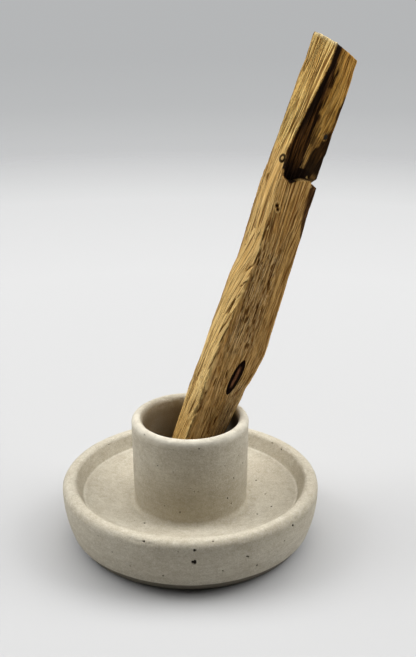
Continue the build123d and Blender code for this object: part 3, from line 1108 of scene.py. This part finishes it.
    # Painted shade in the open cracks
    gap = m.times(m.span(room, -0.035, 0.03), front)
    m.paint(m.times(gap, 0.95), (0.026, 0.011, 0.004))
    dark = m.attribute("dark")
    m.paint(m.times(m.times(dark, 1.5, clamp=True), 0.8), (0.33, 0.15, 0.03))
    m.paint(m.times(m.times(dark, dark), 0.94), (0.04, 0.019, 0.006))

    # Resin in the chip, and bark beside it
    stain = m.attribute("stain")
    resin = m.ramp(
        fibres,
        (0.36, (0.012, 0.005, 0.002)),
        (0.52, (0.05, 0.02, 0.005)),
        (0.68, (0.23, 0.1, 0.026)),
    )
    # Char, with painted shadow along the chip's edge
    resin = m.mix(m.attribute("char_and_arris_shadow"), resin, (0.013, 0.006, 0.003))
    m.paint(stain, resin)
    bark = m.ramp(
        hairs,
        (0.35, (0.02, 0.008, 0.003)),
        (0.58, (0.08, 0.032, 0.012)),
        (0.76, (0.28, 0.12, 0.045)),
    )
    m.mark("bark", 0.94, bark)

    # The almond knot, the ring knot and the knob
    above = m.minus(high, EYE_S)
    off_eye = m.apart(m.minus(across, EYE_X), m.times(above, EYE_LEAN))
    ends = m.math("DIVIDE", m.math("ABSOLUTE", above), EYE_LONG)
    lens = m.math("MAXIMUM", m.minus(1.0, m.math("POWER", ends, EYE_POWER)), 0.0001)
    aside = m.math("DIVIDE", m.math("DIVIDE", off_eye, EYE_WIDE), m.math("SQRT", lens))
    aside = m.math("MULTIPLY_ADD", m.minus(fibres, 0.5), 0.35, aside)
    eye_dark = m.mix(m.span(hairs, 0.4, 0.7), (0.006, 0.0025, 0.0015), (0.018, 0.007, 0.004))
    m.paint(m.times(m.span(aside, 0.94, 1.08, 1.0, 0.0), front), eye_dark)
    core = m.ramp(hairs, (0.3, (0.11, 0.042, 0.018)), (0.7, (0.42, 0.19, 0.092)))
    in_core = m.times(m.span(aside, 0.16, 0.46, 0.95, 0.0), m.span(ends, 0.4, 0.66, 1.0, 0.0))
    m.paint(m.times(in_core, front), core)
    ring = m.span(m.apart(reach(*RING_KNOT), RING_REACH), 0.24, 0.48, 0.95, 0.0)
    m.paint(m.times(ring, m.times(front, lit_face)), (0.034, 0.018, 0.008))
    knob = m.times(m.span(reach(*KNOB, 0.46, 0.62), 0.7, 1.1, 0.92, 0.0), front)
    m.paint(knob, (0.046, 0.042, 0.034))

    rough = m.minus(m.span(fibres, 0.3, 0.7, 0.88, 0.72), m.times(stain, 0.22))
    ridge = m.bump(bands, 0.00025, 0.5)
    ridge = m.bump(m.minus(glints, seams), 0.0001, 0.8, ridge)
    ridge = m.bump(m.times(tears, lower), 0.00015, 0.7, ridge)
    ridge = m.bump(fibres, 0.0002, 0.75, ridge)
    return m.dressed(rough, 0.04, m.bump(hairs, 0.0001, 0.75, ridge))


# The pad's cork is coloured near black: painted shade for the dark gap under the casting
def shaded_cork_material():
    m = Nodes(bpy.data.materials.new("cork_pad"))
    place = m.place_mm()
    far, chance = m.cells(place, 0.9)
    grain = m.noise(place, 2.5, 2.5, detail=3.0)
    m.colour = m.ramp(
        chance,
        (0.1, (0.023, 0.013, 0.007)),
        (0.55, (0.045, 0.026, 0.014)),
        (0.9, (0.073, 0.045, 0.025)),
    )
    m.layers((grain, 0.5, 0.3, 0.6, (0.022, 0.012, 0.007)))
    rough = m.span(grain, 0.3, 0.7, 0.95, 0.82)
    return m.dressed(rough, 0.5, m.bump(m.math("ADD", far, grain), 0.00012, 0.6))


# Torn fibre ends near the front ridge and the chip's lower end: across, along, length, lean and width
TORN = (
    (-4.75, 27.3, 1.5, (-0.75, 0.2, 0.55), 0.16), (-3.75, 27.6, 1.9, (0.25, -0.25, 1.0), 0.2),
    (-3.95, 25.0, 2.2, (-0.3, -0.2, 1.0), 0.2), (-4.1, 22.9, 1.6, (0.3, -0.25, 1.0), 0.18),
    (-4.35, 20.9, 2.0, (0.42, -0.22, 1.0), 0.2), (-3.8, 19.2, 1.3, (0.5, -0.4, 0.9), 0.18),
    (-3.1, 48.4, 2.2, (0.24, -0.16, 1.0), 0.18), (-2.9, 51.6, 1.5, (0.28, -0.18, 1.0), 0.16),
    (-4.1, 44.6, 2.0, (0.22, -0.15, 1.0), 0.16), (-2.9, 55.3, 1.4, (0.3, -0.18, 1.0), 0.15),
    (-4.3, 39.0, 1.8, (0.2, -0.14, 1.0), 0.15), (-2.3, 76.2, 1.1, (0.1, -0.4, 1.0), 0.2),
    (-1.6, 64.6, 1.8, (0.06, -0.14, 1.0), 0.15), (3.9, 76.3, 0.9, (0.2, -0.3, 1.0), 0.2),
    (4.6, 76.4, 0.8, (0.25, -0.25, 1.0), 0.18), (-5.2, 33.2, 1.6, (0.1, -0.12, 1.0), 0.13),
)

# The share of a torn fibre that lies in the wood, how far its end curls, and how flat it is
TORN_ROOT, TORN_CURL, TORN_FLAT = 0.35, 0.22, 0.55
TORN_SIDES, TORN_STEPS = 7, 7


def torn_fibres(stick):
    tree = search_tree([v.co for v in stick.data.vertices], stick.data)
    points, faces = [], []
    sides, steps = TORN_SIDES, TORN_STEPS
    for across, station, length, lean, wide in TORN:
        start = from_stick(np.array((across, -20.0, station))) * MM
        place = tree.ray_cast(Vector(start), Vector(STICK_BACK))[0]
        lean = np.array(lean) / np.linalg.norm(lean)
        root = to_stick(np.array(place) / MM) - lean * TORN_ROOT * length + np.array((0, 0.1, 0))
        flat = np.cross(lean, (0.0, 1.0, 0.0))
        flat /= np.linalg.norm(flat)
        thick = np.cross(flat, lean)
        first = len(points)
        for i in range(steps + 1):
            t = i / steps
            curl = TORN_CURL * length * max(0, t - TORN_ROOT) ** 2
            middle = root + lean * length * t - np.array((0, curl, 0))
            girth = wide * (0.55 + 0.45 * math.sin(math.pi * min(1, t * 1.2))) * (1 - t) ** 0.45 + 0.012
            for j in range(sides):
                a = 2 * math.pi * j / sides
                spread = flat * girth * math.cos(a)
                points.append(middle + spread + thick * girth * TORN_FLAT * math.sin(a))
        faces += ring_faces(steps + 1, sides, first)
        faces.append(tuple(first + j for j in reversed(range(sides))))
        faces.append(tuple(first + steps * sides + j for j in range(sides)))
    local = np.array(points)
    obj = mesh_from("torn_fibres", (from_stick(local) * MM).tolist(), faces)
    bm = bmesh.new()
    bm.from_mesh(obj.data)
    bmesh.ops.recalc_face_normals(bm, faces=bm.faces)
    bm.to_mesh(obj.data)
    bm.free()
    store(obj.data, "stick_mm", local)
    store(obj.data, "pale", np.full(len(local), 0.9))
    return obj


# The piece on the holder's body
holder = casting_mesh()
holder.data.materials.append(casting_material())
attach(holder, "holder")
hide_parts("holder_casting")

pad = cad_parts["base_pad"]
pad.data.materials.clear()
pad.data.materials.append(shaded_cork_material())

# The pieces on the stick's body
wood = wood_material()
stick = stick_mesh()
stick.data.materials.append(wood)
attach(stick, "stick")
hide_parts("wood_stick")
fibres = torn_fibres(stick)
fibres.data.materials.append(wood)
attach(fibres, "stick")


# Floor, light and camera

FLOOR_R = 1.2

# How clear the floor is, by distance from the object
FLOOR_FADE = ((0.2, 0.0), (0.32, 0.18), (0.44, 0.7), (0.6, 0.9), (0.9, 1.0))

# Lamps: place, target, width, depth and power
LAMPS = {
    "overhead": ((-0.05, 0.42, 1.3), (-0.05, 0.3, 0.0), 3.4, 1.2, 31.2),
    "left_panel": ((-1.15, 0.1, 0.95), (0.0, 0.0, 0.05), 1.2, 1.0, 9.6),
    "right_panel": ((1.15, 0.12, 0.95), (0.0, 0.0, 0.05), 1.2, 1.0, 12.2),
}


def floor():
    m = Nodes(bpy.data.materials.new("paper_floor"))
    away = m.add("VectorMath", {0: m.place()}, operation="LENGTH")["Value"]
    fade = m.ramp(away, *((at, (clear,) * 3) for at, clear in FLOOR_FADE))
    shown = m.tree.nodes["Principled BSDF"]
    m.feed(shown, {"Base Color": (0.523, 0.523, 0.523, 1.0), "Roughness": 0.9, "Specular IOR Level": 0.1})
    dull = m.add("BsdfDiffuse", {"Color": (0.47, 0.47, 0.47, 1.0)})
    paper = m.add("MixShader", {0: m.seen(), 1: dull[0], 2: shown.outputs[0]})
    faded = m.add("MixShader", {0: fade, 1: paper[0], 2: m.add("BsdfTransparent", {})[0]})
    m.feed(m.tree.nodes["Material Output"], {"Surface": faded[0]})
    bm = bmesh.new()
    bmesh.ops.create_circle(bm, cap_ends=True, radius=FLOOR_R, segments=128)
    mesh = bpy.data.meshes.new("floor")
    bm.to_mesh(mesh)
    bm.free()
    mesh.materials.append(m.owner)
    obj = add_object("floor", mesh)


def turned(obj, place, ahead):
    obj.location = place
    obj.rotation_mode = "QUATERNION"
    obj.rotation_quaternion = ahead.to_track_quat("-Z", "Y")


def lamp(name, place, target, wide, deep, power):
    data = bpy.data.lights.new(name, "AREA")
    data.shape = "ELLIPSE"
    data.size, data.size_y = wide, deep
    data.energy = power
    turned(add_object(name, data), place, Vector(target) - Vector(place))


def surroundings():
    world = bpy.data.worlds.new("studio")
    bpy.context.scene.world = world
    m = Nodes(world)
    light = m.tree.nodes["Background"]
    m.feed(light, {"Color": (0.94, 0.97, 1.0, 1.0), "Strength": 0.039})
    shown = m.add("Background", {"Color": (0.462, 0.47, 0.476, 1.0)})
    both = m.add("MixShader", {0: m.seen(), 1: light.outputs[0], 2: shown[0]})
    m.feed(m.tree.nodes["World Output"], {"Surface": both[0]})


floor()
surroundings()
for name, settings in LAMPS.items():
    lamp(name, *settings)

data = bpy.data.cameras.new("camera")
data.lens = FOCAL_PIXELS * SENSOR_MM / FRAME_HIGH
data.sensor_width = SENSOR_MM
data.clip_start, data.clip_end = 0.01, 20.0
camera = add_object("camera", data)
turned(camera, CAMERA_PLACE * MM, CAMERA_AHEAD)
bpy.context.scene.camera = camera
bpy.context.scene.view_settings.view_transform = "Standard"

bpy.context.view_layer.update()
